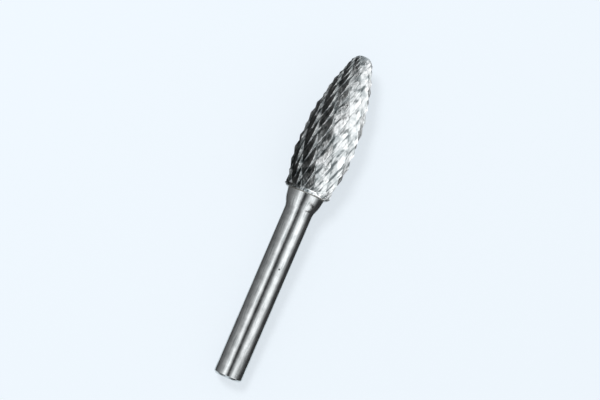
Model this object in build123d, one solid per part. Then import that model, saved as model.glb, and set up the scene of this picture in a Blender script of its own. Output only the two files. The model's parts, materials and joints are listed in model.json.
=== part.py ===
from build123d import *
import os
from math import atan2, cos, degrees, hypot, radians, sin, sqrt, tan

# A carbide burr: a flame-shaped toothed head brazed to a turned steel shank.
# The tool is modelled upright, tip up, with z = 0 at the head's base face,
# and is then laid on its side as it rests on a bench. Millimetres and degrees.

# Head
head_diameter = 12.0        # over the tooth edges at the belly
head_length = 30.0          # base face to nose
belly_height = 10.0         # base face to the largest diameter
nose_radius = 2.5
nose_flat_diameter = 2.2
rim_diameter = 9.7          # plain rim where the flutes start
base_bevel = 0.5
rim_band = 0.15             # plain band between the bevel and the flutes
rim_step = 0.12             # the band stands this far outside the first tooth edges

# Teeth: the main cut is right-handed, the cross cut left-handed and coarser
main_flutes = 18
main_helix = 20.0           # degrees from the axis
main_depth = 0.105          # share of the local radius
main_face = 0.18            # share of the pitch taken by the steep cutting face
main_start = 7.0            # turn of the main cut against the cross cut
cross_flutes = 10
cross_helix = -22.0
cross_depth = 0.10
cross_face = 0.12
main_edge_relief = 0.008    # the main edges stand this share outside the cross edges
belly_sections = 7          # sections along the base-to-belly curve
taper_sections = 12         # sections along the belly-to-nose curve
nose_sections = 4

# Braze and shank
braze_thickness = 0.15
braze_overhang = 0.15       # fillet of solder standing out beyond the collar
collar_diameter = 7.8       # where it takes the braze
collar_foot_diameter = 7.2
collar_length = 2.0
shoulder_length = 1.6
shank_diameter = 6.0
shank_length = 40.0         # base face of the head to the free end
end_chamfer = 0.5
shoulder_round = 2.5        # blends the shoulder into the collar and the shank

# How it lies: on the shank's end and on two teeth of the belly
rest_roll = 18.27           # turn about its own axis that brings both teeth down
seat_height = 7.9           # middle of the two teeth, above the head's base face
seat_spread = 14.6          # half the angle between the two teeth

head_radius = head_diameter / 2
rim_radius = rim_diameter / 2
collar_radius = collar_diameter / 2
collar_foot_radius = collar_foot_diameter / 2
shank_radius = shank_diameter / 2
bevel_radius = rim_radius - base_bevel
tip_radius = nose_flat_diameter / 2
nose_center = head_length - sqrt(nose_radius**2 - tip_radius**2)

# Upper arc: level at the belly and tangent to the nose sphere
taper_rise = nose_center - belly_height
taper_radius = (taper_rise**2 + head_radius**2 - nose_radius**2) / (2 * (head_radius - nose_radius))
# Lower arc: level at the belly and through the first tooth edges
flute_start_radius = rim_radius - rim_step
belly_drop = head_radius - flute_start_radius
belly_run = belly_height - base_bevel
belly_radius = (belly_drop**2 + belly_run**2) / (2 * belly_drop)


def flame_stations():
    """Points (radius, height) up the flame outline, from the rim to the nose flat."""
    to_nose = nose_radius / (taper_radius - nose_radius)
    nose_start = (
        (taper_radius - head_radius) * to_nose,
        nose_center + taper_rise * to_nose,
    )
    nose_end = (tip_radius, head_length)
    belly = (head_radius, belly_height)
    lower = TangentArc([belly, (flute_start_radius, base_bevel)], tangent=(0, -1))
    taper = TangentArc([belly, nose_start], tangent=(0, 1))
    nose = TangentArc([nose_start, nose_end], tangent=taper % 1)
    stations = [lower @ (1 - step / belly_sections) for step in range(belly_sections)]
    stations += [taper @ (step / taper_sections) for step in range(taper_sections)]
    stations += [nose @ (step / nose_sections) for step in range(nose_sections + 1)]
    return stations


def helix_turns(stations, helix, start):
    """Turn at each station of a line that keeps the same helix angle up the flame."""
    turns = [start]
    for low, high in zip(stations, stations[1:]):
        along = hypot(high.X - low.X, high.Y - low.Y)
        mean_radius = (low.X + high.X) / 2
        turns.append(turns[-1] + degrees(along * tan(radians(helix)) / mean_radius))
    return turns


def ratchet_section(flutes, edge_radius, root_radius, face, turn, height):
    """Cross-section of one cut: each tooth climbs gently and drops at its cutting face."""
    pitch = 360 / flutes
    corners = []
    for flute in range(flutes):
        root = radians(turn + flute * pitch)
        edge = radians(turn + (flute + 1 - face) * pitch)
        corners.append((root_radius * cos(root), root_radius * sin(root)))
        corners.append((edge_radius * cos(edge), edge_radius * sin(edge)))
    return Pos(0, 0, height) * make_face(Polyline(*corners, close=True))


def fluted_flame(flutes, helix, depth, face, start, oversize):
    """The flame with one set of helical flutes, lofted through twisted ratchet sections."""
    stations = flame_stations()
    sections = []
    for station, turn in zip(stations, helix_turns(stations, helix, start)):
        edge_radius = station.X * (1 + oversize)
        root_radius = edge_radius * (1 - depth)
        sections.append(ratchet_section(flutes, edge_radius, root_radius, face, turn, station.Y))
    return loft(sections, ruled=True)


def revolved(outline):
    """Turned solid from a closed (radius, height) outline."""
    return revolve(Plane.XZ * make_face(outline), Axis.Z)


def make_cutting_head():
    main_cut = fluted_flame(
        main_flutes, main_helix, main_depth, main_face, main_start, main_edge_relief
    )
    cross_cut = fluted_flame(cross_flutes, cross_helix, cross_depth, cross_face, 0, 0)
    band_top = base_bevel + rim_band
    rim = revolved(
        Polyline(
            (0, 0),
            (bevel_radius, 0),
            (rim_radius, base_bevel),
            (rim_radius, band_top),
            (0, band_top),
            close=True,
        )
    )
    return (main_cut & cross_cut) + rim


def make_braze_joint():
    """Ring of silver solder that fills the joint, wider at the head than at the collar."""
    return revolved(
        Polyline(
            (0, 0),
            (collar_radius + braze_overhang, 0),
            (collar_radius, -braze_thickness),
            (0, -braze_thickness),
            close=True,
        )
    )


def make_shank():
    """Turned shank: tapering collar, conical shoulder, gripping length, chamfered end."""
    collar_bottom = -collar_length
    shoulder_bottom = collar_bottom - shoulder_length
    blank = revolved(
        Polyline(
            (0, -braze_thickness),
            (collar_radius, -braze_thickness),
            (collar_foot_radius, collar_bottom),
            (shank_radius, shoulder_bottom),
            (shank_radius, -shank_length),
            (0, -shank_length),
            close=True,
        )
    )
    rims = blank.edges().filter_by(GeomType.CIRCLE)
    shoulder_edges = rims.filter_by_position(Axis.Z, shoulder_bottom, collar_bottom)
    shank = fillet(shoulder_edges, shoulder_round)
    return chamfer(shank.edges().filter_by(GeomType.CIRCLE).sort_by(Axis.Z)[0], end_chamfer)


def rest_tilt():
    """Rise of the axis towards the nose with the shank's end and two teeth on the bench."""
    flame_radius = head_radius - belly_radius + sqrt(belly_radius**2 - (belly_height - seat_height) ** 2)
    seat_depth = flame_radius * cos(radians(seat_spread))
    span = seat_height + shank_length - end_chamfer
    return degrees(atan2(seat_depth - shank_radius, span))


def lay_down(shape):
    """Turn the upright tool on its side, nose towards +X."""
    return Rot(0, 90 - rest_tilt(), 0) * Rot(0, 0, rest_roll) * shape


def build():
    upright = {
        "cutting_head": make_cutting_head(),
        "braze_joint": make_braze_joint(),
        "shank": make_shank(),
    }
    lying = {name: lay_down(shape) for name, shape in upright.items()}
    box = Compound(lying.values()).bounding_box()
    center = box.center()
    place = Pos(-center.X, -center.Y, -box.min.Z)
    return {name: place * shape for name, shape in lying.items()}


os.makedirs("parts", exist_ok=True)
for name, shape in build().items():
    export_step(shape, f"parts/{name}.step")
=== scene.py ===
"""Looks of a carbide burr that lies on a pale bench, in metres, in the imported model's frame."""

import json
import math

import bpy
import numpy as np
from mathutils import Matrix, Vector


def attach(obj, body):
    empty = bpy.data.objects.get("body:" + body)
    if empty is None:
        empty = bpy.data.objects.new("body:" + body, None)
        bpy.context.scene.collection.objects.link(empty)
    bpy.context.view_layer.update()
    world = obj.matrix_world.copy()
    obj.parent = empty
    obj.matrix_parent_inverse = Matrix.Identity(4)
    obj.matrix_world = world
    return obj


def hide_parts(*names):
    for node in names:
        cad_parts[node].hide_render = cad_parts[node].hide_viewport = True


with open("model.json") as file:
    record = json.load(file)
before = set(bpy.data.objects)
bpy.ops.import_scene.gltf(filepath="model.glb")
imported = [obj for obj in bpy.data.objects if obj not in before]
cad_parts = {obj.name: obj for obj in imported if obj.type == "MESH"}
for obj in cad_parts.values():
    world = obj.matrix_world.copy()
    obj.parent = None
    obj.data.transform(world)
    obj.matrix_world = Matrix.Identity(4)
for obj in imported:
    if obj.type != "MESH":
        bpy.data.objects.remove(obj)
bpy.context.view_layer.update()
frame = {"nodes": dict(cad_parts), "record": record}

MM = 0.001

# The photographed view: where the tool lies in the 600 x 400 picture, and how it is seen.
PICTURE_WIDTH = 600
PICTURE_CENTER = (300.0, 200.0)
PIXELS_PER_MM = 5.0
AXIS_POINT = (271.5, 274.2)       # a pixel on the tool's axis
AXIS_POINT_BELOW_HEAD = 17.6      # how far below the head's base that point is, in mm
AXIS_LEAN = 23.3                  # clockwise from the picture's vertical, in degrees
SEEN_FROM_SHANK = 4.0             # how far the view leans to the shank's side, in degrees
LENS = 100.0                      # in mm, as the sensor's width is
SENSOR = 36.0
CLIP_DISTANCES = (0.01, 20.0)     # in metres

# Sizes of the tool in millimetres, heights from the head's base face.
# The overall length, the head's length and the shank's radius come from the frame.
HEAD_RADIUS = 6.0
BELLY_HEIGHT = 10.0
NOSE_RADIUS = 2.5
NOSE_FLAT = 1.1
RIM_RADIUS = 4.85
BASE_BEVEL = 0.5
RIM_BAND = 0.15
FLUTE_START_RADIUS = 4.73
NOSE_RING = 0.45                  # last ring of the mesh, as a share of the nose flat
COLLAR_RADIUS = 3.9
COLLAR_FOOT_RADIUS = 3.6
COLLAR_LENGTH = 2.0
SHOULDER_LENGTH = 1.6
COLLAR_INSET = 0.3                # from the collar's edge in to the last ring on its top
BRAZE_THICKNESS = 0.15
BRAZE_OVERHANG = 0.15
BRAZE_HOLLOW = (0.3, 0.6)         # middle of the fillet, as shares of overhang and thickness
END_CHAMFER = 0.5
END_RING = 0.3                    # radius of the innermost ring on the shank's end
SPECK_BELOW_HEAD = 16.2           # a small dark pit in the shank
SPECK_ASIDE = 1.05                # towards the photographed right
SPECK_RADIUS = 0.2
REST_ROLL = 18.27                 # turn about the tool's own axis, in degrees

# Blends of the shank's outline: how far each one runs both ways from its corner
SHOULDER_REACH = 0.6
END_REACH = 0.12
COLLAR_REACH = 0.1
REACH_DIVISOR = 2.2               # a blend takes at most a side's length divided by this
BLEND_STEPS = 6

# The plain rim under the teeth, (radius, height), with its corners slightly broken
RIM_PROFILE = [
    (RIM_RADIUS - BASE_BEVEL, 0.0),
    (RIM_RADIUS - BASE_BEVEL + 0.04, 0.01),
    (RIM_RADIUS - 0.04, BASE_BEVEL - 0.05),
    (RIM_RADIUS, BASE_BEVEL + 0.02),
    (RIM_RADIUS, BASE_BEVEL + RIM_BAND - 0.03),
    (RIM_RADIUS - 0.03, BASE_BEVEL + RIM_BAND),
]

# Both cuts: number of flutes, helix from the axis in degrees, depth as a share of the radius,
# cutting face as a share of the pitch, start in degrees, and share outside the other cut.
# Depths, main face and oversize differ slightly from the solid's, so the diamonds read better.
MAIN_CUT = {"flutes": 18, "helix": 20.0, "depth": 0.112, "face": 0.20, "start": 7.0, "over": 0.004}
CROSS_CUT = {"flutes": 10, "helix": -22.0, "depth": 0.095, "face": 0.12, "start": 0.0, "over": 0.0}
BELLY_SECTIONS, TAPER_SECTIONS, NOSE_SECTIONS = 7, 12, 4
HEAD_COLUMNS, HEAD_ROWS = 360, 260
ROW_CROWDING = 1.15               # above 1, rows lie closer together towards the nose
SHANK_SEGMENTS, BRAZE_SEGMENTS = 192, 128
EDGE_SHARPNESS = 6                # power that narrows the painted highlight line along a tooth edge
EDGE_LAND = 0.003                 # share of the radius worn off the tooth edges
CHIP_SEED = 5
CHIP_ROWS, CHIP_COLUMNS = 64, 84  # grid of the small breaks along the edges
CHIP_LEVEL = 0.72                 # random values above this one break the edge
CHIP_DEPTH = 0.22


# ---------------------------------------------------------------- tool axes

MOUNT = next(mount for mount in frame["record"]["mounts"] if mount["name"] == "shank")
SHANK_RADIUS = MOUNT["dims"]["r_mm"]
AXIS = -Vector(MOUNT["axis"]).normalized()
DOWN = Vector((AXIS.z, 0.0, -AXIS.x))
SIDE = AXIS.cross(DOWN)


def along_axis(node):
    """Lowest and highest place of a CAD node along the tool's axis, in metres from the origin."""
    places = [AXIS.dot(vertex.co) for vertex in frame["nodes"][node].data.vertices]
    return min(places), max(places)


AXIS_ORIGIN = Vector(MOUNT["pos_m"]) - AXIS * AXIS.dot(Vector(MOUNT["pos_m"]))
HEAD_BASE, NOSE = along_axis("cutting_head")
SHANK_END = along_axis("shank")[0]
NOSE_HEIGHT = (NOSE - HEAD_BASE) / MM
SHANK_LENGTH = (HEAD_BASE - SHANK_END) / MM


def tool_matrix():
    """From the upright tool, in millimetres over the head's base face, to where it lies."""
    place = AXIS_ORIGIN + AXIS * HEAD_BASE
    basis = Matrix((DOWN, SIDE, AXIS)).transposed().to_4x4()
    roll = Matrix.Rotation(math.radians(REST_ROLL), 4, "Z")
    return Matrix.Translation(place) @ basis @ Matrix.Scale(MM, 4) @ roll


TOOL = tool_matrix()


# ---------------------------------------------------------------- mesh helpers

def add_piece(name, points, faces, node, attributes=None):
    """A mesh given upright in millimetres, laid in place, that stands for one CAD node."""
    points = np.asarray(points, float)
    mesh = bpy.data.meshes.new(name)
    matrix = np.array(TOOL)
    laid = points @ matrix[:3, :3].T + matrix[:3, 3]
    mesh.from_pydata(laid.tolist(), [], faces)
    tool = mesh.attributes.new("tool", "FLOAT_VECTOR", "POINT")
    tool.data.foreach_set("vector", points.astype(np.float32).ravel())
    for key, values in (attributes or {}).items():
        kind, field = ("FLOAT_VECTOR", "vector") if np.ndim(values) == 2 else ("FLOAT", "value")
        layer = mesh.attributes.new(key, kind, "POINT")
        layer.data.foreach_set(field, np.asarray(values, np.float32).ravel())
    mesh.update()
    piece = bpy.data.objects.new(name, mesh)
    bpy.context.scene.collection.objects.link(piece)
    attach(piece, "root")
    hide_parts(node)
    return piece


def capped_faces(rows, columns):
    """Faces of rings that run upwards, facing outwards, with a flat cap on both ends."""
    faces = []
    for row in range(rows - 1):
        for column in range(columns):
            after = (column + 1) % columns
            low, high = row * columns, (row + 1) * columns
            faces.append((low + column, low + after, high + after, high + column))
    last = (rows - 1) * columns
    faces.append(tuple(reversed(range(columns))))
    faces.append(tuple(range(last, last + columns)))
    return faces


def lathe(profile, segments):
    """Points and faces of a turned solid from (radius, height) pairs that run upwards."""
    points = []
    for radius, height in profile:
        for step in range(segments):
            angle = 2 * math.pi * step / segments
            points.append((radius * math.cos(angle), radius * math.sin(angle), height))
    return points, capped_faces(len(profile), segments)


def rounded(corners, reaches):
    """An open (radius, height) profile with its inner corners rounded, each by its own reach."""
    profile = [corners[0]]
    for before, corner, after, wanted in zip(corners, corners[1:], corners[2:], reaches):
        before, corner, after = (np.array(place, float) for place in (before, corner, after))
        back, ahead = before - corner, after - corner
        back_length, ahead_length = np.linalg.norm(back), np.linalg.norm(ahead)
        reach = min(wanted, back_length / REACH_DIVISOR, ahead_length / REACH_DIVISOR)
        start = corner + back / back_length * reach
        end = corner + ahead / ahead_length * reach
        for step in range(BLEND_STEPS + 1):
            blend = step / BLEND_STEPS
            place = (1 - blend) ** 2 * start + 2 * blend * (1 - blend) * corner + blend**2 * end
            profile.append(tuple(place))
    profile.append(corners[-1])
    return profile


# ---------------------------------------------------------------- cutting head

def flame_stations():
    """(radius, height) of the tooth edges at each section, from the rim to the nose flat.

    The belly curve and the taper curve are arcs that are level with each other at the belly, and
    the taper curve runs smoothly into the nose's arc.
    """
    nose_center = NOSE_HEIGHT - math.sqrt(NOSE_RADIUS**2 - NOSE_FLAT**2)
    rise = nose_center - BELLY_HEIGHT
    taper = (rise**2 + HEAD_RADIUS**2 - NOSE_RADIUS**2) / (2 * (HEAD_RADIUS - NOSE_RADIUS))
    drop, run = HEAD_RADIUS - FLUTE_START_RADIUS, BELLY_HEIGHT - BASE_BEVEL
    belly = (drop**2 + run**2) / (2 * drop)
    stations = []
    belly_sweep = math.asin(run / belly)
    for step in range(BELLY_SECTIONS):
        angle = belly_sweep * (1 - step / BELLY_SECTIONS)
        radius = HEAD_RADIUS - belly * (1 - math.cos(angle))
        stations.append((radius, BELLY_HEIGHT - belly * math.sin(angle)))
    taper_sweep = math.asin(rise / (taper - NOSE_RADIUS))
    for step in range(TAPER_SECTIONS):
        angle = taper_sweep * step / TAPER_SECTIONS
        radius = HEAD_RADIUS - taper * (1 - math.cos(angle))
        stations.append((radius, BELLY_HEIGHT + taper * math.sin(angle)))
    nose_sweep = math.acos(NOSE_FLAT / NOSE_RADIUS) - taper_sweep
    for step in range(NOSE_SECTIONS + 1):
        angle = taper_sweep + nose_sweep * step / NOSE_SECTIONS
        radius = NOSE_RADIUS * math.cos(angle)
        stations.append((radius, nose_center + NOSE_RADIUS * math.sin(angle)))
    return np.array(stations)


def helix_turns(stations, cut):
    """Turn of a cut at each station, in radians, at a constant helix angle."""
    steps = np.diff(stations, axis=0)
    along = np.hypot(steps[:, 0], steps[:, 1])
    mean_radius = (stations[1:, 0] + stations[:-1, 0]) / 2
    turns = np.cumsum(along * math.tan(math.radians(cut["helix"])) / mean_radius)
    return math.radians(cut["start"]) + np.concatenate([[0.0], turns])


def ratchet_at(stations, cut, height, angles):
    """One cut at a height: its radius, the share up the tooth and on the cutting face or not."""
    turns = helix_turns(stations, cut)
    upper = int(np.clip(np.searchsorted(stations[:, 1], height), 1, len(stations) - 1))
    share = (height - stations[upper - 1, 1]) / (stations[upper, 1] - stations[upper - 1, 1])
    pitch = 2 * math.pi / cut["flutes"]
    edge_scale, root_scale = 1 + cut["over"], (1 + cut["over"]) * (1 - cut["depth"])

    def corner(scale, offset):
        """A corner of the cut's outline, on the straight line between two sections."""
        ends = []
        for index in (upper - 1, upper):
            radius, turn = stations[index, 0] * scale, turns[index] + offset
            ends.append(radius * np.array([math.cos(turn), math.sin(turn)]))
        return ends[0] * (1 - share) + ends[1] * share

    root = corner(root_scale, 0.0)
    edge = corner(edge_scale, pitch * (1 - cut["face"]))
    following = corner(root_scale, pitch)
    first = math.atan2(root[1], root[0])
    across = np.mod(angles - first, pitch)
    edge_turn = np.mod(math.atan2(edge[1], edge[0]) - first, 2 * math.pi)

    def to_chord(start, end, ray):
        """Distance along rays at these angles to the line through two corners."""
        direction = end - start
        normal = np.array([direction[1], -direction[0]])
        return normal @ start / (normal[0] * np.cos(ray) + normal[1] * np.sin(ray))

    climb = to_chord(root, edge, first + across)
    face = to_chord(edge, following, first + across)
    radii = np.where(across < edge_turn, climb, face)
    up = np.where(across < edge_turn, across / edge_turn, (pitch - across) / (pitch - edge_turn))
    return radii, up, across >= edge_turn


def chips(rng):
    """How far the edges are broken away, as a smooth random function of angle and height."""
    table = rng.random((CHIP_ROWS, CHIP_COLUMNS))

    def depth_at(angles, height):
        """Depth in millimetres at each angle, blended between the four nearest table entries."""
        row = height / NOSE_HEIGHT * (CHIP_ROWS - 1)
        low = min(int(row), CHIP_ROWS - 2)
        level = table[low] * (low + 1 - row) + table[low + 1] * (row - low)
        column = np.mod(angles / (2 * math.pi), 1.0) * CHIP_COLUMNS
        left = column.astype(int) % CHIP_COLUMNS
        share = column - np.floor(column)
        value = level[left] * (1 - share) + level[(left + 1) % CHIP_COLUMNS] * share
        return np.clip((value - CHIP_LEVEL) / (1 - CHIP_LEVEL), 0, 1) * CHIP_DEPTH

    return depth_at


def untwisted(radii, angles, turn, height):
    """Points turned back along a cut's helix, so marks stretched upwards follow its flutes."""
    back = angles - turn
    return np.stack([radii * np.cos(back), radii * np.sin(back), np.full_like(radii, height)], 1)


def plain_ring(radius, angles, height):
    """One row of the head's mesh without teeth, and what the material reads from it."""
    none = np.zeros(HEAD_COLUMNS)
    place = untwisted(np.ones(HEAD_COLUMNS) * radius, angles, 0.0, height)
    marks = {"crest": none, "depth": none, "faced": none, "root": none}
    return place, {**marks, "flute": place, "main": place}


def toothed_ring(stations, angles, height, turns, broken):
    """One row through the teeth: at each angle the deeper of the two cuts is the surface."""
    main_turn, cross_turn = turns
    main_radii, main_up, main_face = ratchet_at(stations, MAIN_CUT, height, angles)
    cross_radii, cross_up, cross_face = ratchet_at(stations, CROSS_CUT, height, angles)
    edge_radius = np.interp(height, stations[:, 1], stations[:, 0])
    main_wins = main_radii < cross_radii
    land = edge_radius * (1 - EDGE_LAND) - broken(angles, height)
    radii = np.minimum(np.minimum(main_radii, cross_radii), land)
    up = np.where(main_wins, main_up, cross_up)
    marks = {
        "crest": up**EDGE_SHARPNESS,
        "depth": 1 - radii / edge_radius,
        "faced": np.where(main_wins, main_face, cross_face),
        "root": 1 - up,
        "flute": untwisted(radii, angles, np.where(main_wins, main_turn, cross_turn), height),
        "main": untwisted(radii, angles, main_turn, height),
    }
    return untwisted(radii, angles, 0.0, height), marks


def make_head():
    """Double-cut flame in one mesh, whose rows turn with the cross cut."""
    stations = flame_stations()
    broken = chips(np.random.default_rng(CHIP_SEED))
    main_turns, cross_turns = helix_turns(stations, MAIN_CUT), helix_turns(stations, CROSS_CUT)
    base_angles = np.arange(HEAD_COLUMNS) * 2 * math.pi / HEAD_COLUMNS
    low, high = BASE_BEVEL + RIM_BAND, stations[-1, 1]
    spread = np.linspace(0, 1, HEAD_ROWS)
    rim_angles = base_angles + cross_turns[0]
    rings = [plain_ring(radius, rim_angles, height) for radius, height in RIM_PROFILE]
    for height in low + (high - low) * (1 - (1 - spread) ** ROW_CROWDING):
        main_turn = np.interp(height, stations[:, 1], main_turns)
        cross_turn = np.interp(height, stations[:, 1], cross_turns)
        angles = base_angles + cross_turn
        rings.append(toothed_ring(stations, angles, height, (main_turn, cross_turn), broken))
    rings.append(plain_ring(NOSE_FLAT * NOSE_RING, base_angles + cross_turns[-1], high))
    points = np.concatenate([place for place, _ in rings])
    faces = capped_faces(len(rings), HEAD_COLUMNS)
    attributes = {key: np.concatenate([marks[key] for _, marks in rings]) for key in rings[0][1]}
    return add_piece("burr_head", points, faces, "cutting_head", attributes)


# ---------------------------------------------------------------- braze and shank

def turned_piece(name, profile, segments, node):
    """A turned piece, smooth round its side and flat on its caps."""
    points, faces = lathe(profile, segments)
    piece = add_piece(name, points, faces, node)
    for polygon in piece.data.polygons:
        polygon.use_smooth = len(polygon.vertices) == 4
    return piece


def make_braze():
    """The solder between head and collar, with a hollow fillet."""
    aside, below = BRAZE_HOLLOW
    profile = [
        (COLLAR_RADIUS, -BRAZE_THICKNESS),
        (COLLAR_RADIUS + BRAZE_OVERHANG * aside, -BRAZE_THICKNESS * below),
        (COLLAR_RADIUS + BRAZE_OVERHANG, 0.0),
    ]
    return turned_piece("braze_ring", profile, BRAZE_SEGMENTS, "braze_joint")


def make_shank():
    """The shank from its chamfered end over the shoulder to the collar's top."""
    corners = [
        (END_RING, -SHANK_LENGTH),
        (SHANK_RADIUS - END_CHAMFER, -SHANK_LENGTH),
        (SHANK_RADIUS, -SHANK_LENGTH + END_CHAMFER),
        (SHANK_RADIUS, -COLLAR_LENGTH - SHOULDER_LENGTH),
        (COLLAR_FOOT_RADIUS, -COLLAR_LENGTH),
        (COLLAR_RADIUS, -BRAZE_THICKNESS),
        (COLLAR_RADIUS - COLLAR_INSET, -BRAZE_THICKNESS),
    ]
    reaches = [END_REACH, END_REACH, SHOULDER_REACH, SHOULDER_REACH, COLLAR_REACH]
    return turned_piece("burr_shank", rounded(corners, reaches), SHANK_SEGMENTS, "shank")


# ---------------------------------------------------------------- shader nodes

WHITE = (1.0, 1.0, 1.0)
MIX_FIRST, MIX_SECOND, MIX_COLOR = 6, 7, 2    # the Mix node's colour inputs and output


class Nodes:
    """Small helper that adds and links nodes in the tree of a material or the world."""

    def __init__(self, owner):
        owner.use_nodes = True
        self.tree = owner.node_tree

    def feed(self, node, values):
        """Link each socket of a node to another socket, or set it to a plain value."""
        for key, value in values.items():
            if isinstance(value, bpy.types.NodeSocket):
                self.tree.links.new(value, node.inputs[key])
            else:
                node.inputs[key].default_value = value

    def add(self, kind, values=None, **settings):
        node = self.tree.nodes.new(kind)
        for key, value in settings.items():
            setattr(node, key, value)
        self.feed(node, values or {})
        return node

    def math(self, operation, first, second, clamp=False):
        values = {0: first, 1: second}
        node = self.add("ShaderNodeMath", values, operation=operation, use_clamp=clamp)
        return node.outputs[0]

    def plus(self, first, second):
        return self.math("ADD", first, second)

    def minus(self, first, second):
        return self.math("SUBTRACT", first, second)

    def times(self, first, second, clamp=False):
        return self.math("MULTIPLY", first, second, clamp)

    def attribute(self, name, output="Fac"):
        return self.add("ShaderNodeAttribute", attribute_name=name).outputs[output]

    def ramp(self, value, stops):
        """Colour from (place, colour) stops."""
        node = self.add("ShaderNodeValToRGB", {"Fac": value})
        while len(node.color_ramp.elements) < len(stops):
            node.color_ramp.elements.new(0.5)
        for element, (place, color) in zip(node.color_ramp.elements, stops):
            element.position = place
            element.color = (*color, 1.0)
        return node.outputs["Color"]

    def noise(self, vector, scale, detail=2.0, finer=(1.0, 1.0, 1.0)):
        """Noise over a vector, made finer along each axis by that axis's factor."""
        mapped = self.add("ShaderNodeMapping", {"Vector": vector, "Scale": finer}).outputs[0]
        values = {"Vector": mapped, "Scale": scale, "Detail": detail}
        return self.add("ShaderNodeTexNoise", values).outputs["Fac"]

    def mix(self, share, first, second, way="MIX"):
        """From the first colour to the second one by a share."""
        values = {"Factor": share, MIX_FIRST: first, MIX_SECOND: second}
        node = self.add("ShaderNodeMix", values, data_type="RGBA", blend_type=way)
        return node.outputs[MIX_COLOR]

    def tinted(self, first, second):
        """One colour times the other."""
        return self.mix(1.0, first, second, "MULTIPLY")

    def bump(self, height, strength, distance):
        values = {"Height": height, "Strength": strength, "Distance": distance}
        return self.add("ShaderNodeBump", values).outputs["Normal"]


def new_material(name):
    """A new material, the helper for its nodes, and its shader."""
    material = bpy.data.materials.new(name)
    nodes = Nodes(material)
    return material, nodes, nodes.tree.nodes["Principled BSDF"]


# ---------------------------------------------------------------- carbide

# Noises are (scale, detail, factors), over millimetres in the upright tool. The factors make
# one finer along x, y and z, so a small last one draws it out along the tool or its flutes.
GRAIN_NOISE = (9.0, 4.0)
BLOTCH_NOISE = (0.55, 4.0)
MARKS_NOISE = (4.0, 3.0, (3.0, 3.0, 0.45))
# Painted shade: dark streaks drawn out along the main flutes.
GROOVE_SHADE_NOISE = (0.9, 3.0, (1.7, 1.7, 0.45))
UNEVEN_NOISE = (1.5, 3.0)

GROUND_COLOR = (0.86, 0.88, 0.88, 1)
# Painted shade: flanks darken towards this colour deeper in the flutes.
SUNK_SHADE_COLOR = (0.60, 0.62, 0.625, 1)
# Painted shade on the cutting faces; their dullness is the roughness below.
SHADED_FACE_COLOR = (0.245, 0.265, 0.27, 1)
# Painted highlight along the tooth edges.
EDGE_HIGHLIGHT_COLOR = (0.925, 0.94, 0.94, 1)
SUNK_FROM, SUNK_GAIN = 0.02, 14.0         # depth where painted shade starts to darken a flank, and how fast
FACE_SHADE_SHARE, LOW_FACE_SHADE_SHARE = 0.7, 0.2     # how much painted shade darkens the cutting faces, and how much more low down
EDGE_HIGHLIGHT_SHARE = 0.8
LOW_FROM, LOW_TO = 15.0, 3.0              # heights between which the painted shade low on the head, near the collar, fades in
BLOTCH_TONES = [(0.38, (0.58, 0.61, 0.615)), (0.56, (1.0, 1.0, 0.995))]
# Painted shade in the flutes, as dark streaks along the main cut.
GROOVE_SHADE_TONES = [(0.26, (0.235, 0.255, 0.26)), (0.40, WHITE)]
ROOT_SHADE, ROOT_POWER = 0.12, 3.0      # more painted shade deep in the flutes
LOW_SHADE = 0.11                        # and painted shade low on the head
CARBIDE_ROUGH, GRAIN_ROUGH, FACE_ROUGH = 0.19, 0.24, 0.25
MARKS_RELIEF, GRAIN_RELIEF = 0.05, 0.03
CARBIDE_BUMP = (1.0, 0.00022)             # strength, and height in metres


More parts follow.
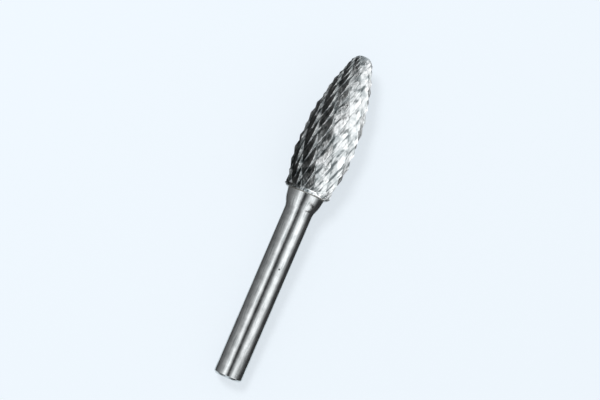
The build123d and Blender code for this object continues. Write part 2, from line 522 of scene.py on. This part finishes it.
def carbide_material():
    """Ground carbide: mottled flanks, dull cutting faces with painted shade, painted shade deep in
    the flutes and low on the head, and painted highlights along the tooth edges.
    """
    material, nodes, shader = new_material("ground_carbide")
    place = nodes.attribute("tool", "Vector")
    flute = nodes.attribute("flute", "Vector")
    along_main = nodes.attribute("main", "Vector")
    faced = nodes.attribute("faced")
    grain = nodes.noise(place, *GRAIN_NOISE)
    marks = nodes.noise(flute, *MARKS_NOISE)
    # low: 0 at LOW_FROM and 1 at LOW_TO, for the painted shade low on the head.
    height = nodes.add("ShaderNodeSeparateXYZ", {0: place}).outputs[2]
    fade = {"Value": height, "From Min": LOW_FROM, "From Max": LOW_TO}
    low = nodes.add("ShaderNodeMapRange", fade).outputs[0]

    # Painted shade: the flanks darken deeper in the flutes.
    sunk = nodes.times(nodes.minus(nodes.attribute("depth"), SUNK_FROM), SUNK_GAIN, clamp=True)
    flank = nodes.mix(sunk, GROUND_COLOR, SUNK_SHADE_COLOR)
    # Painted shade: cutting faces darkened, more so low on the head.
    face_shade = nodes.plus(nodes.times(low, LOW_FACE_SHADE_SHARE), FACE_SHADE_SHARE)
    shaded_ground = nodes.mix(nodes.times(faced, face_shade), flank, SHADED_FACE_COLOR)
    # Painted highlight: tooth edges lightened along their crests.
    highlighted = nodes.mix(nodes.times(nodes.attribute("crest"), EDGE_HIGHLIGHT_SHARE), shaded_ground, EDGE_HIGHLIGHT_COLOR)
    mottled = nodes.tinted(highlighted, nodes.ramp(nodes.noise(place, *BLOTCH_NOISE), BLOTCH_TONES))
    # Painted shade: dark streaks along the main flutes, more towards their roots and low on the
    # head.
    root_shade = nodes.times(nodes.math("POWER", nodes.attribute("root"), ROOT_POWER), ROOT_SHADE)
    unshaded = nodes.minus(nodes.noise(along_main, *GROOVE_SHADE_NOISE), root_shade)
    groove_shade = nodes.ramp(nodes.minus(unshaded, nodes.times(low, LOW_SHADE)), GROOVE_SHADE_TONES)

    ground_rough = nodes.plus(nodes.times(grain, GRAIN_ROUGH), CARBIDE_ROUGH)
    fine = nodes.plus(nodes.times(marks, MARKS_RELIEF), nodes.times(grain, GRAIN_RELIEF))
    relief = nodes.plus(nodes.noise(place, *UNEVEN_NOISE), fine)
    nodes.feed(shader, {
        "Base Color": nodes.tinted(mottled, groove_shade),
        "Metallic": 1.0,
        "Roughness": nodes.plus(nodes.times(faced, FACE_ROUGH), ground_rough),
        "Normal": nodes.bump(relief, *CARBIDE_BUMP),
    })
    return material


# ---------------------------------------------------------------- steel

# All but the last two are over (angle, 0, height): rings are fine along the height and
# drawn streaks round the shank
RINGS_NOISE = (1.0, 4.0, (0.6, 1.0, 26.0))
FINE_NOISE = (1.0, 2.0, (2.0, 1.0, 90.0))
DRAWN_NOISE = (1.0, 3.0, (9.0, 1.0, 0.35))
SMEAR_NOISE = (0.5, 4.0)
PIT_NOISE = (6.0,)

RINGS_SHARE, SMEAR_SHARE = 0.35, 0.65
STEEL_TONES = [(0.34, (0.53, 0.555, 0.56)), (0.62, (0.77, 0.805, 0.81))]
DRAWN_TONES = [(0.34, (0.70, 0.725, 0.73)), (0.5, WHITE)]
PIT_RAGGED, PIT_FADE = 0.2, 0.14          # how uneven the pit's edge is, and how wide, in mm
PIT_TONES = [(SPECK_RADIUS, (0.05, 0.05, 0.055)), (SPECK_RADIUS + PIT_FADE, WHITE)]
STEEL_ROUGH, SMEAR_ROUGH = 0.08, 0.16
RINGS_RELIEF, FINE_RELIEF, PIT_RELIEF = 0.5, 0.5, 2.0
STEEL_BUMP = (0.15, 0.00002)


def turned_place(nodes, place):
    """(angle, 0, height) in the upright tool, for finishes that run round or along it."""
    split = nodes.add("ShaderNodeSeparateXYZ", {0: place})
    angle = nodes.math("ARCTAN2", split.outputs[1], split.outputs[0])
    return nodes.add("ShaderNodeCombineXYZ", {0: angle, 1: 0.0, 2: split.outputs[2]}).outputs[0]


def speck_place():
    """The pit on the shank, in the upright tool: given along the axis and aside as photographed."""
    upward = SHANK_RADIUS * math.cos(math.asin(SPECK_ASIDE / SHANK_RADIUS))
    place = TOOL.to_3x3().normalized().inverted() @ Vector((0.0, -SPECK_ASIDE, upward))
    return place.x, place.y, -SPECK_BELOW_HEAD


def steel_material():
    """Ground steel with fine rings, drawn streaks, smear and the pit."""
    material, nodes, shader = new_material("ground_steel")
    place = nodes.attribute("tool", "Vector")
    turned = turned_place(nodes, place)
    rings = nodes.noise(turned, *RINGS_NOISE)
    smear = nodes.noise(place, *SMEAR_NOISE)
    shade = nodes.plus(nodes.times(rings, RINGS_SHARE), nodes.times(smear, SMEAR_SHARE))
    drawn = nodes.ramp(nodes.noise(turned, *DRAWN_NOISE), DRAWN_TONES)
    streaked = nodes.tinted(nodes.ramp(shade, STEEL_TONES), drawn)

    to_pit = nodes.add("ShaderNodeVectorMath", {0: place, 1: speck_place()}, operation="DISTANCE")
    ragged = nodes.times(nodes.noise(place, *PIT_NOISE), PIT_RAGGED)
    pit = nodes.ramp(nodes.plus(to_pit.outputs["Value"], ragged), PIT_TONES)

    fine = nodes.times(nodes.noise(turned, *FINE_NOISE), FINE_RELIEF)
    turned_relief = nodes.plus(nodes.times(rings, RINGS_RELIEF), fine)
    relief = nodes.plus(turned_relief, nodes.times(pit, PIT_RELIEF))
    nodes.feed(shader, {
        "Base Color": nodes.tinted(streaked, pit),
        "Metallic": 1.0,
        "Roughness": nodes.plus(nodes.times(smear, SMEAR_ROUGH), STEEL_ROUGH),
        "Normal": nodes.bump(relief, *STEEL_BUMP),
    })
    return material


# ---------------------------------------------------------------- solder

LUMPS_NOISE = (2.5, 3.0)
SOLDER_TONES = [(0.3, (0.30, 0.28, 0.25)), (0.7, (0.62, 0.60, 0.55))]
SOLDER_ROUGH = 0.38
SOLDER_BUMP = (0.4, 0.00008)


def solder_material():
    """Dull, slightly lumpy silver solder."""
    material, nodes, shader = new_material("silver_solder")
    lumps = nodes.noise(nodes.attribute("tool", "Vector"), *LUMPS_NOISE)
    nodes.feed(shader, {
        "Base Color": nodes.ramp(lumps, SOLDER_TONES),
        "Metallic": 1.0,
        "Roughness": SOLDER_ROUGH,
        "Normal": nodes.bump(lumps, *SOLDER_BUMP),
    })
    return material


# ---------------------------------------------------------------- bench, light and camera

PALE = (0.855, 0.922, 0.982, 1.0)    # colour of the bench and the backdrop
BENCH_HALF = 1.5
BENCH_ROUGHNESS = 0.9
BENCH_STEADY = 0.68               # share of the bench's seen colour that takes no shadow
SKY_STRENGTH = 0.6

# Lamp: lean from straight up, and the side it leans to, towards the nose and to the left
LAMP_DISTANCE = 1.0
LAMP_SIZE = 0.25
LAMP_LEAN = 26.0
LAMP_SIDE = (0.5, 0.87)
LAMP_WATTS = 4.9

# Two light tents, one for the head and one for the shank, seen in their reflections only.
# Tones are (angle from straight up, tone) stops, negative to the photographed left. Zones are
# (start, end, tones): the metres along the tent over which the later tones fade in.
TENT_LENGTH = 0.7
TENT_STEPS = 32
TENT_GAP = 0.0065                 # from the tool's axis to the tent's strip on the bench
TENT_AXIS_HEIGHT = 0.0045         # of the line that the angles of the tones turn about
TENT_SPAN = 135.0                 # degrees from straight up that the tones cover each way
TENT_STRENGTH = 1.25
TENT_BLUE = 1.01                  # blue of the light, against 1 for red and green
SHOULDER_TONES = [
    (-130, 0.1), (-98, 0.25), (-64, 0.42), (-36, 1.2), (-24, 0.8), (-9, 0.05), (3, 0.03),
    (20, 0.4), (44, 1.05), (70, 0.9), (90, 0.2), (110, 0.02), (130, 0.01),
]
COLLAR_TONES = [
    (-120, 0.1), (-84, 0.25), (-55, 0.42), (-31, 1.2), (-20, 0.8), (-7, 0.05), (3, 0.03),
    (18, 0.4), (32, 1.05), (46, 0.7), (62, 0.12), (80, 0.01), (130, 0.01),
]
SHANK_TONES = [
    (-120, 0.06), (-84, 0.2), (-50, 0.4), (-31, 1.2), (-20, 0.8), (-7, 0.05), (3, 0.03),
    (18, 0.28), (38, 1.1), (60, 1.1), (76, 0.4), (95, 0.05), (120, 0.03),
]
BASE_TONES = [
    (-120, 0.005), (-62, 0.01), (-40, 0.02), (-18, 0.2), (5, 1.25), (30, 1.35), (60, 1.35),
    (101, 1.3), (110, 0.1), (130, 0.02),
]
HEAD_TONES = [
    (-120, 0.02), (-62, 0.035), (-40, 0.08), (-18, 0.6), (5, 1.33), (30, 1.38), (60, 1.38),
    (101, 1.35), (110, 0.1), (130, 0.02),
]
NOSE_TONES = [
    (-120, 0.03), (-62, 0.08), (-40, 0.27), (-18, 0.6), (5, 1.0), (30, 1.25), (101, 1.25),
    (110, 0.1), (130, 0.02),
]
# The head's tent stands inside the shank's and lets rays through, so each piece reflects its own.
# The shank's tent is opaque, which keeps the sky out of the reflections.
HEAD_TENT = {
    "radius": 0.16,
    "foot": 0.0005,
    "tones": BASE_TONES,
    "zones": [(-0.04, 0.0, HEAD_TONES), (0.08, 0.14, NOSE_TONES)],
    "lets_through": True,
}
SHANK_TENT = {
    "radius": 0.17,
    "foot": 0.0003,
    "tones": SHOULDER_TONES,
    "zones": [(-0.088, -0.068, COLLAR_TONES), (-0.052, -0.044, SHANK_TONES)],
    "lets_through": False,
}


def add_mesh(name, points, faces, material):
    """A mesh of the stage, with one material."""
    mesh = bpy.data.meshes.new(name)
    mesh.from_pydata(points, [], faces)
    mesh.materials.append(material)
    item = bpy.data.objects.new(name, mesh)
    bpy.context.scene.collection.objects.link(item)
    return item


def seen_ray(nodes):
    """1 for camera, glossy and transmission rays, 0 for the rest."""
    path = nodes.add("ShaderNodeLightPath")
    seen = path.outputs["Is Camera Ray"]
    for kind in ("Is Glossy Ray", "Is Transmission Ray"):
        seen = nodes.math("MAXIMUM", seen, path.outputs[kind])
    return seen


def make_floor():
    """Pale bench: part of its colour is steady, and the rest is lit and keeps the shadow."""
    material, nodes, shader = new_material("pale_bench")
    nodes.feed(shader, {
        "Base Color": PALE,
        "Roughness": BENCH_ROUGHNESS,
        "Specular IOR Level": 0.0,
    })
    steady = nodes.add("ShaderNodeEmission", {"Color": PALE, "Strength": 1.0})
    share = nodes.times(seen_ray(nodes), BENCH_STEADY)
    parts = {0: share, 1: shader.outputs[0], 2: steady.outputs[0]}
    mixed = nodes.add("ShaderNodeMixShader", parts)
    nodes.feed(nodes.tree.nodes["Material Output"], {"Surface": mixed.outputs[0]})
    signs = [(-1, -1), (1, -1), (1, 1), (-1, 1)]
    corners = [(along * BENCH_HALF, aside * BENCH_HALF, 0.0) for along, aside in signs]
    floor = add_mesh("bench", corners, [(0, 1, 2, 3)], material)


def make_world():
    """White sky light, seen as the same pale colour as the bench."""
    world = bpy.data.worlds.new("studio")
    bpy.context.scene.world = world
    nodes = Nodes(world)
    sky = nodes.tree.nodes["Background"]
    nodes.feed(sky, {"Color": (*WHITE, 1.0), "Strength": SKY_STRENGTH})
    backdrop = nodes.add("ShaderNodeBackground", {"Color": PALE, "Strength": 1.0})
    parts = {0: seen_ray(nodes), 1: sky.outputs[0], 2: backdrop.outputs[0]}
    mixed = nodes.add("ShaderNodeMixShader", parts)
    nodes.feed(nodes.tree.nodes["World Output"], {"Surface": mixed.outputs[0]})


def tent_place(nodes):
    """Where a point of the tent is: its share of the span from left to right, and lengthwise."""
    place = nodes.add("ShaderNodeNewGeometry").outputs["Position"]
    split = nodes.add("ShaderNodeSeparateXYZ", {0: place})
    right = nodes.times(split.outputs[1], -1.0)
    rise = nodes.minus(split.outputs[2], TENT_AXIS_HEIGHT)
    angle = nodes.math("ARCTAN2", right, rise)
    span = math.radians(TENT_SPAN)
    share = nodes.add("ShaderNodeMapRange", {"Value": angle, "From Min": -span, "From Max": span})
    return share.outputs[0], split.outputs[0]


def tent_ramp(nodes, share, tones):
    """Brightness round the tool from (angle, tone) stops."""
    stops = []
    for angle, tone in tones:
        stops.append(((angle + TENT_SPAN) / (2 * TENT_SPAN), (tone, tone, tone * TENT_BLUE)))
    return nodes.ramp(share, stops)


def tent_material(name, tent):
    """Light of a tent, which lets rays go on to what is behind it or not."""
    material = bpy.data.materials.new(name)
    nodes = Nodes(material)
    nodes.tree.nodes.clear()
    share, lengthwise = tent_place(nodes)
    tone = tent_ramp(nodes, share, tent["tones"])
    for start, end, later_tones in tent["zones"]:
        fade = {"Value": lengthwise, "From Min": start, "From Max": end}
        zone = nodes.add("ShaderNodeMapRange", fade, interpolation_type="SMOOTHSTEP")
        tone = nodes.mix(zone.outputs[0], tone, tent_ramp(nodes, share, later_tones))
    glow = nodes.add("ShaderNodeEmission", {"Color": tone, "Strength": TENT_STRENGTH})
    if tent["lets_through"]:
        clear = nodes.add("ShaderNodeBsdfTransparent")
        glow = nodes.add("ShaderNodeAddShader", {0: glow.outputs[0], 1: clear.outputs[0]})
    nodes.add("ShaderNodeOutputMaterial", {"Surface": glow.outputs[0]})
    return material


def make_tent(name, tent, pieces):
    """A half-round light tent with a strip on the bench each side, for these pieces alone."""
    radius, foot = tent["radius"], tent["foot"]
    profile = [(TENT_GAP, foot), (radius, foot)]
    for step in range(1, TENT_STEPS):
        angle = math.pi * step / TENT_STEPS
        profile.append((radius * math.cos(angle), radius * math.sin(angle)))
    profile += [(-radius, foot), (-TENT_GAP, foot)]
    points, faces = [], []
    for aside, height in profile:
        points += [(-TENT_LENGTH / 2, aside, height), (TENT_LENGTH / 2, aside, height)]
    for step in range(len(profile) - 1):
        faces.append((2 * step, 2 * step + 1, 2 * step + 3, 2 * step + 2))
    item = add_mesh(name, points, faces, tent_material(name, tent))
    item.visible_camera = False
    item.visible_diffuse = False
    item.visible_shadow = False
    lit = bpy.data.collections.new(name)
    for piece in pieces:
        lit.objects.link(piece)
    item.light_linking.receiver_collection = lit


def make_lamp():
    """Soft lamp from the picture's upper left, which gives the shadow on the bench."""
    data = bpy.data.lights.new("lamp", "AREA")
    data.shape = "SQUARE"
    data.size = LAMP_SIZE
    data.energy = LAMP_WATTS
    lamp = bpy.data.objects.new("lamp", data)
    lean = math.radians(LAMP_LEAN)
    toward = Vector((math.sin(lean) * LAMP_SIDE[0], math.sin(lean) * LAMP_SIDE[1], math.cos(lean)))
    lamp.location = toward * LAMP_DISTANCE
    lamp.rotation_mode = "QUATERNION"
    lamp.rotation_quaternion = toward.to_track_quat("Z", "Y")
    lamp.visible_glossy = False
    bpy.context.scene.collection.objects.link(lamp)


def make_camera():
    """Camera over the tool, square to its axis but for the lean, placed as the photo frames it."""
    data = bpy.data.cameras.new("camera")
    data.lens, data.sensor_width = LENS, SENSOR
    camera = bpy.data.objects.new("camera", data)
    bpy.context.scene.collection.objects.link(camera)
    bpy.context.scene.camera = camera
    lean = math.radians(SEEN_FROM_SHANK)
    back = (-DOWN * math.cos(lean) - AXIS * math.sin(lean)).normalized()
    pictured_axis = (AXIS - back * AXIS.dot(back)).normalized()
    pictured_right = pictured_axis.cross(back)
    turn = math.radians(AXIS_LEAN)
    right = pictured_axis * math.sin(turn) + pictured_right * math.cos(turn)
    up = pictured_axis * math.cos(turn) - pictured_right * math.sin(turn)
    from_point = (PICTURE_CENTER[0] - AXIS_POINT[0], PICTURE_CENTER[1] - AXIS_POINT[1])
    ahead = (from_point[0] * math.sin(turn) - from_point[1] * math.cos(turn)) / PIXELS_PER_MM
    aside = (from_point[0] * math.cos(turn) + from_point[1] * math.sin(turn)) / PIXELS_PER_MM
    on_axis = AXIS_ORIGIN + AXIS * (HEAD_BASE - AXIS_POINT_BELOW_HEAD * MM)
    aim = on_axis + pictured_axis * ahead * MM + pictured_right * aside * MM
    distance = PICTURE_WIDTH * LENS / SENSOR / PIXELS_PER_MM * MM
    camera.location = aim + back * distance
    camera.rotation_mode = "QUATERNION"
    camera.rotation_quaternion = Matrix((right, up, back)).transposed().to_quaternion()
    data.clip_start, data.clip_end = CLIP_DISTANCES


head = make_head()
head.data.materials.append(carbide_material())
braze = make_braze()
braze.data.materials.append(solder_material())
shank = make_shank()
shank.data.materials.append(steel_material())
make_floor()
make_world()
make_lamp()
make_tent("head_tent", HEAD_TENT, [head])
make_tent("shank_tent", SHANK_TENT, [shank, braze])
make_camera()
bpy.context.scene.view_settings.view_transform = "Standard"
